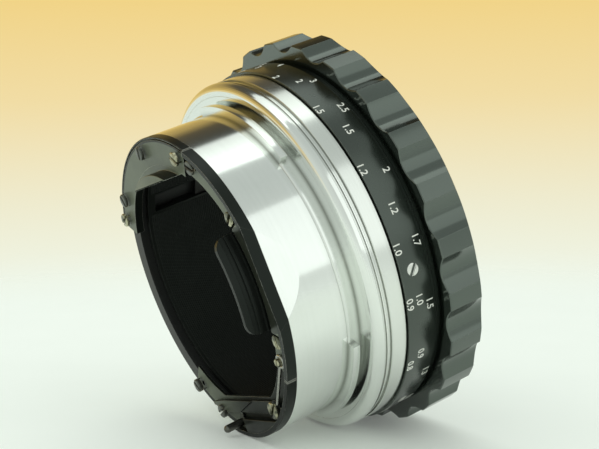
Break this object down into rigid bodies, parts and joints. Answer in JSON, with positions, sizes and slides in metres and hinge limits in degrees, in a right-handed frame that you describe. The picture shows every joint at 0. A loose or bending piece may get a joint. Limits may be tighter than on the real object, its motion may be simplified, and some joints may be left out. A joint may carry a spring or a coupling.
{
  "type": "focusing helicoid",
  "caption": "Focusing helicoid for a square-format camera: a bayonet barrel, a scalloped focusing ring with a distance scale and a straight-guided lens carrier.",
  "frame": {"origin": "centre of the bayonet's seat plane, on the optical axis", "axes": "+X along the optical axis towards the lens, +Z towards the top where the focus index is, +Y to the left seen from behind"},
  "size_m": [0.0477, 0.0926, 0.0926],
  "materials": {
    "chrome": "satin chrome, finely turned",
    "index_chrome": "bright satin chrome",
    "black_ring": "semi-gloss black anodised",
    "grip_black": "satin black anodised with worn edges",
    "black_plate": "satin black paint",
    "carrier_black": "matte black, finely ribbed inside",
    "nut_brass": "machined",
    "dark_screw": "blackened, with worn bright edges",
    "bright_screw": "polished steel",
    "mount_metal": "satin chrome",
    "key_steel": "ground, blackened",
    "spring_steel": "drawn wire"
  },
  "bodies": {
    "body": {"outer_barrel": "chrome", "bayonet_ring": "chrome", "seat_collar": "chrome", "index_ring": "index_chrome", "keeper_ring": "key_steel", "guide_keys": "key_steel", "key_screws": "bright_screw", "stop_pin": "bright_screw", "top_plate": "black_plate", "side_plate": "black_plate", "bottom_plate": "black_plate", "top_plate_screws": "dark_screw", "side_plate_screws": "dark_screw", "bottom_plate_screws": "dark_screw", "spring_post": "dark_screw", "lever_spring": "spring_steel", "lever_pivot_screw": "dark_screw"},
    "focus": {"helicoid_nut": "nut_brass", "grip_ring": "grip_black", "scale_ring": "black_ring", "scale_lock_screws": "bright_screw", "grip_screws": "dark_screw"},
    "carrier": {"carrier_tube": "carrier_black", "lens_mount_ring": "mount_metal", "mount_ring_screws": "dark_screw"},
    "lever": {"aperture_lever": "black_plate", "lever_pin": "bright_screw"}
  },
  "joints": [
    {"name": "focus_turn", "type": "hinge", "parent": "body", "child": "focus", "pos_m": [0, 0, 0], "axis": [-1, 0, 0], "range_deg": [-30.8, 209.2]},
    {"name": "carrier_slide", "type": "slide", "parent": "body", "child": "carrier", "axis": [1, 0, 0], "range_m": [-0.00165, 0.01095]},
    {"name": "lever_turn", "type": "hinge", "parent": "body", "child": "lever", "pos_m": [-0.01685, -0.01523, -0.02865], "axis": [1, 0, 0], "range_deg": [0, 8], "stiffness_Nm_per_rad": 0.02}
  ],
  "couplings": [
    {"joint": "carrier_slide", "follows": "focus_turn", "m_per_rad": 0.0029842}
  ]
}
